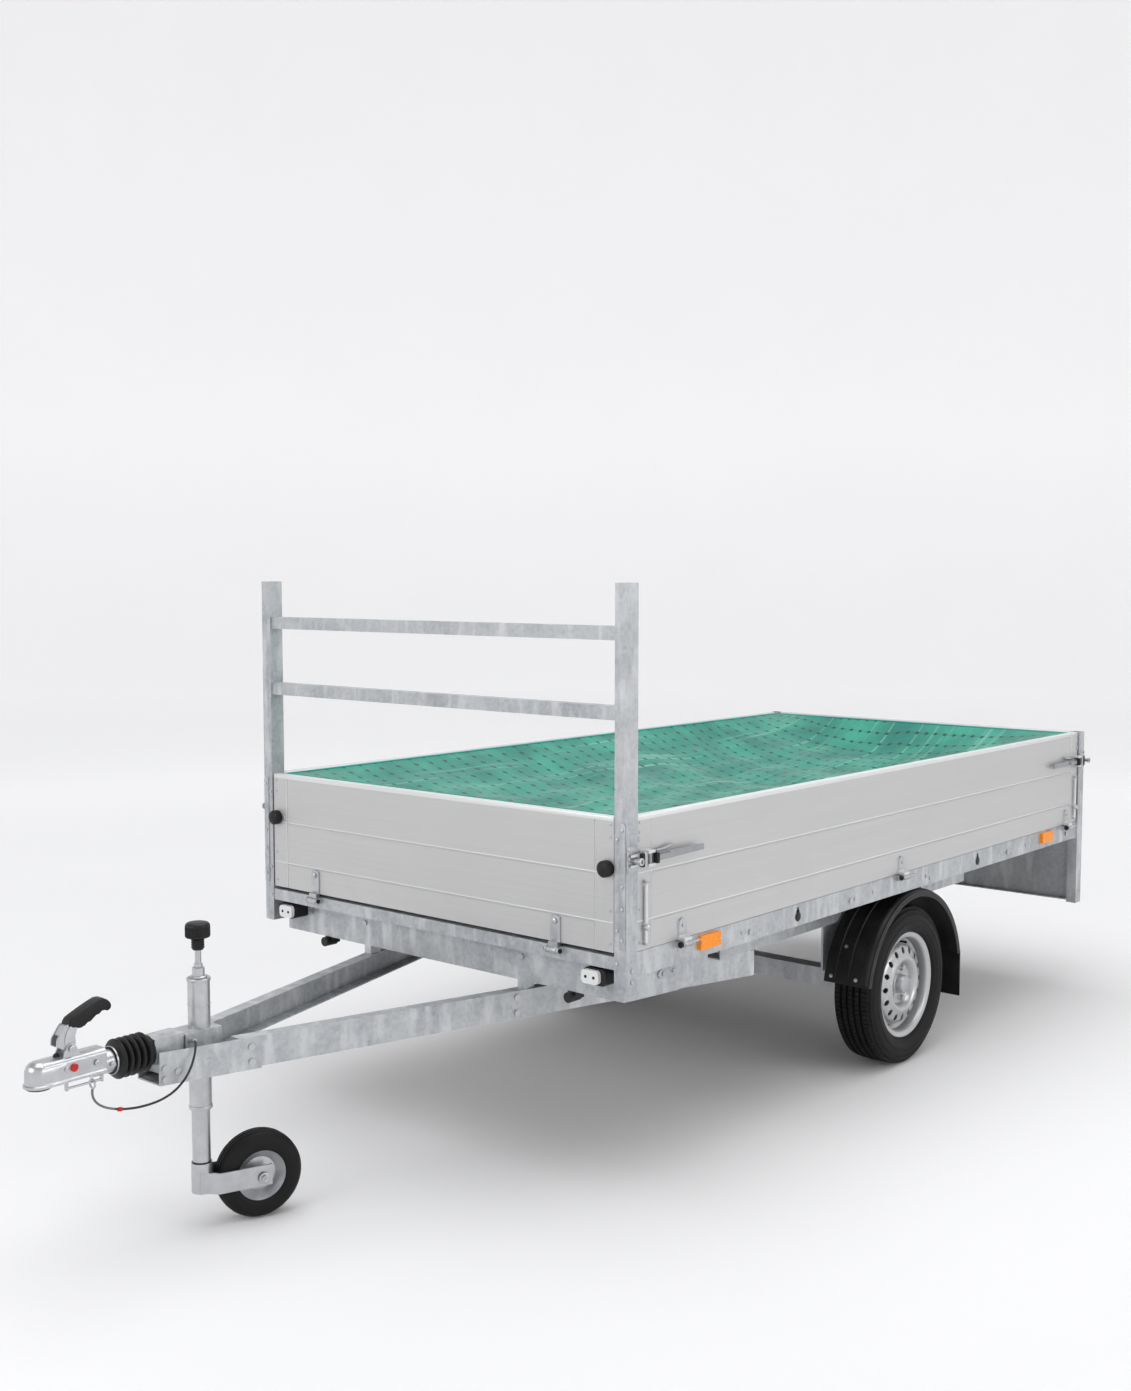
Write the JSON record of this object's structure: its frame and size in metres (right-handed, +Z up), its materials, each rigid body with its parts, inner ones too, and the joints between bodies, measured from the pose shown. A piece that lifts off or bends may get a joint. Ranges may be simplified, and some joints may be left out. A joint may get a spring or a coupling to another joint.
{
  "type": "tow behind cart",
  "caption": "Flatbed cart on a braked axle with drop sides, ladder rack, V drawbar, overrun coupling, swivelling jockey wheel and a cargo net over the bed.",
  "frame": {"origin": "ground point below the middle of the cart's bounding box", "axes": "+X the cart's left side, -Y towards the coupling, +Z up"},
  "size_m": [1.556, 4.3892, 1.666],
  "materials": {
    "galvanised_steel": "hot-dip galvanised, spangled",
    "zinc_plated_steel": "bright zinc plated",
    "anodised_aluminium": "satin anodised",
    "deck_plywood": "film-faced plywood",
    "black_plastic": "moulded, satin",
    "black_rubber": "moulded rubber",
    "tyre_rubber": "tyre rubber",
    "wheel_silver": "silver paint",
    "hub_steel": "satin steel",
    "cable_sheath": "plastic sheath",
    "net_cord": "knotted cord",
    "red_lens": "clear-coated lens",
    "amber_lens": "prismatic lens",
    "white_lens": "clear lens"
  },
  "bodies": {
    "chassis": {"side_beams": "galvanised_steel", "front_beam": "galvanised_steel", "cross_members": "galvanised_steel", "front_hinge_rail": "galvanised_steel", "deck_board": "deck_plywood", "corner_posts": "galvanised_steel", "ladder_rack": "galvanised_steel", "drawbar_legs": "galvanised_steel", "drawbar_yoke": "galvanised_steel", "overrun_housing": "galvanised_steel", "jockey_bracket": "galvanised_steel", "frame_bolts": "zinc_plated_steel", "axle_rails": "galvanised_steel", "axle_tube": "galvanised_steel", "mudguards": "black_plastic", "coupling_bellows": "black_rubber", "safety_cable": "cable_sheath", "cable_hook": "zinc_plated_steel", "jockey_outer_tube": "zinc_plated_steel", "hinge_brackets": "zinc_plated_steel", "post_latch_pins": "zinc_plated_steel", "light_board": "galvanised_steel", "rear_lights": "red_lens", "side_reflectors": "amber_lens", "front_marker_housings": "black_rubber", "front_marker_lenses": "white_lens", "lashing_hooks": "black_rubber", "cargo_net": "net_cord"},
    "front_panel_body": {"front_panel": "anodised_aluminium", "front_panel_fittings": "zinc_plated_steel"},
    "side_left": {"side_panel_left": "anodised_aluminium", "side_fittings_left": "zinc_plated_steel"},
    "side_right": {"side_panel_right": "anodised_aluminium", "side_fittings_right": "zinc_plated_steel"},
    "tail_body": {"tailgate": "anodised_aluminium", "tailgate_fittings": "zinc_plated_steel"},
    "lever_left_front": {"latch_lever_left_front": "zinc_plated_steel"},
    "lever_left_rear": {"latch_lever_left_rear": "zinc_plated_steel"},
    "lever_right_front": {"latch_lever_right_front": "zinc_plated_steel"},
    "lever_right_rear": {"latch_lever_right_rear": "zinc_plated_steel"},
    "lever_tail_left": {"latch_lever_tail_left": "zinc_plated_steel"},
    "lever_tail_right": {"latch_lever_tail_right": "zinc_plated_steel"},
    "arm_left": {"swing_arm_left": "zinc_plated_steel"},
    "wheel_left": {"tyre_left": "tyre_rubber", "wheel_rim_left": "wheel_silver", "wheel_hub_left": "hub_steel"},
    "arm_right": {"swing_arm_right": "zinc_plated_steel"},
    "wheel_right": {"tyre_right": "tyre_rubber", "wheel_rim_right": "wheel_silver", "wheel_hub_right": "hub_steel"},
    "coupling": {"coupling_head": "zinc_plated_steel", "draw_shaft": "zinc_plated_steel"},
    "handle": {"coupling_handle": "zinc_plated_steel", "coupling_grip": "black_plastic"},
    "jockey_leg": {"jockey_inner_tube": "zinc_plated_steel"},
    "jockey_screw": {"jockey_spindle": "zinc_plated_steel", "jockey_knob": "black_plastic"},
    "jockey_swivel": {"jockey_fork": "zinc_plated_steel"},
    "jockey_wheel": {"jockey_tyre": "black_rubber", "jockey_rim": "zinc_plated_steel"}
  },
  "joints": [
    {"name": "front_panel_hinge", "type": "hinge", "parent": "chassis", "child": "front_panel_body", "pos_m": [0, -0.8965, 0.658], "axis": [1, 0, 0], "range_deg": [0, 100]},
    {"name": "side_hinge_left", "type": "hinge", "parent": "chassis", "child": "side_left", "pos_m": [0.764, 0.6405, 0.668], "axis": [0, 1, 0], "range_deg": [0, 175]},
    {"name": "side_hinge_right", "type": "hinge", "parent": "chassis", "child": "side_right", "pos_m": [-0.764, 0.6405, 0.668], "axis": [0, -1, 0], "range_deg": [0, 175]},
    {"name": "tailgate_hinge", "type": "hinge", "parent": "chassis", "child": "tail_body", "pos_m": [0, 2.1795, 0.668], "axis": [-1, 0, 0], "range_deg": [0, 175]},
    {"name": "lever_left_front_hinge", "type": "hinge", "parent": "side_left", "child": "lever_left_front", "pos_m": [0.763, -0.7975, 0.93], "axis": [0, 0, -1], "range_deg": [0, 90]},
    {"name": "lever_left_rear_hinge", "type": "hinge", "parent": "side_left", "child": "lever_left_rear", "pos_m": [0.763, 2.0785, 0.93], "axis": [0, 0, 1], "range_deg": [0, 90]},
    {"name": "lever_tail_left_hinge", "type": "hinge", "parent": "tail_body", "child": "lever_tail_left", "pos_m": [0.668, 2.1785, 1.008], "axis": [0, 0, -1], "range_deg": [0, 90]},
    {"name": "lever_right_front_hinge", "type": "hinge", "parent": "side_right", "child": "lever_right_front", "pos_m": [-0.763, -0.7975, 0.93], "axis": [0, 0, 1], "range_deg": [0, 90]},
    {"name": "lever_right_rear_hinge", "type": "hinge", "parent": "side_right", "child": "lever_right_rear", "pos_m": [-0.763, 2.0785, 0.93], "axis": [0, 0, -1], "range_deg": [0, 90]},
    {"name": "lever_tail_right_hinge", "type": "hinge", "parent": "tail_body", "child": "lever_tail_right", "pos_m": [-0.668, 2.1785, 1.008], "axis": [0, 0, 1], "range_deg": [0, 90]},
    {"name": "suspension_left", "type": "hinge", "parent": "chassis", "child": "arm_left", "pos_m": [0.559, 0.5555, 0.3], "axis": [1, 0, 0], "range_deg": [-6, 6], "stiffness_Nm_per_rad": 6000, "springref_deg": -2.01},
    {"name": "wheel_spin_left", "type": "hinge", "parent": "arm_left", "child": "wheel_left", "pos_m": [0.665, 0.7125, 0.2735], "axis": [1, 0, 0], "continuous": true},
    {"name": "suspension_right", "type": "hinge", "parent": "chassis", "child": "arm_right", "pos_m": [-0.559, 0.5555, 0.3], "axis": [1, 0, 0], "range_deg": [-6, 6], "stiffness_Nm_per_rad": 6000, "springref_deg": -2.01},
    {"name": "wheel_spin_right", "type": "hinge", "parent": "arm_right", "child": "wheel_right", "pos_m": [-0.665, 0.7125, 0.2735], "axis": [1, 0, 0], "continuous": true},
    {"name": "overrun_slide", "type": "slide", "parent": "chassis", "child": "coupling", "axis": [0, 1, 0], "range_m": [0, 0.055], "deforming": ["coupling_bellows"]},
    {"name": "handle_hinge", "type": "hinge", "parent": "coupling", "child": "handle", "pos_m": [0, -2.0855, 0.563], "axis": [1, 0, 0], "range_deg": [0, 40]},
    {"name": "jockey_slide", "type": "slide", "parent": "chassis", "child": "jockey_leg", "axis": [0, 0, 1], "range_m": [-0.04, 0.11]},
    {"name": "jockey_screw_spin", "type": "hinge", "parent": "chassis", "child": "jockey_screw", "pos_m": [0, -1.7045, 0.7], "axis": [0, 0, 1], "range_deg": [-2500, 6700]},
    {"name": "jockey_swivel_spin", "type": "hinge", "parent": "jockey_leg", "child": "jockey_swivel", "pos_m": [0, -1.7045, 0.15], "axis": [0, 0, 1], "continuous": true},
    {"name": "jockey_wheel_spin", "type": "hinge", "parent": "jockey_swivel", "child": "jockey_wheel", "pos_m": [0.05056, -1.56328, 0.115], "axis": [0.9415, -0.3371, 0], "continuous": true}
  ],
  "couplings": [
    {"joint": "jockey_screw_spin", "follows": "jockey_slide", "rad_per_m": 1047.2}
  ]
}
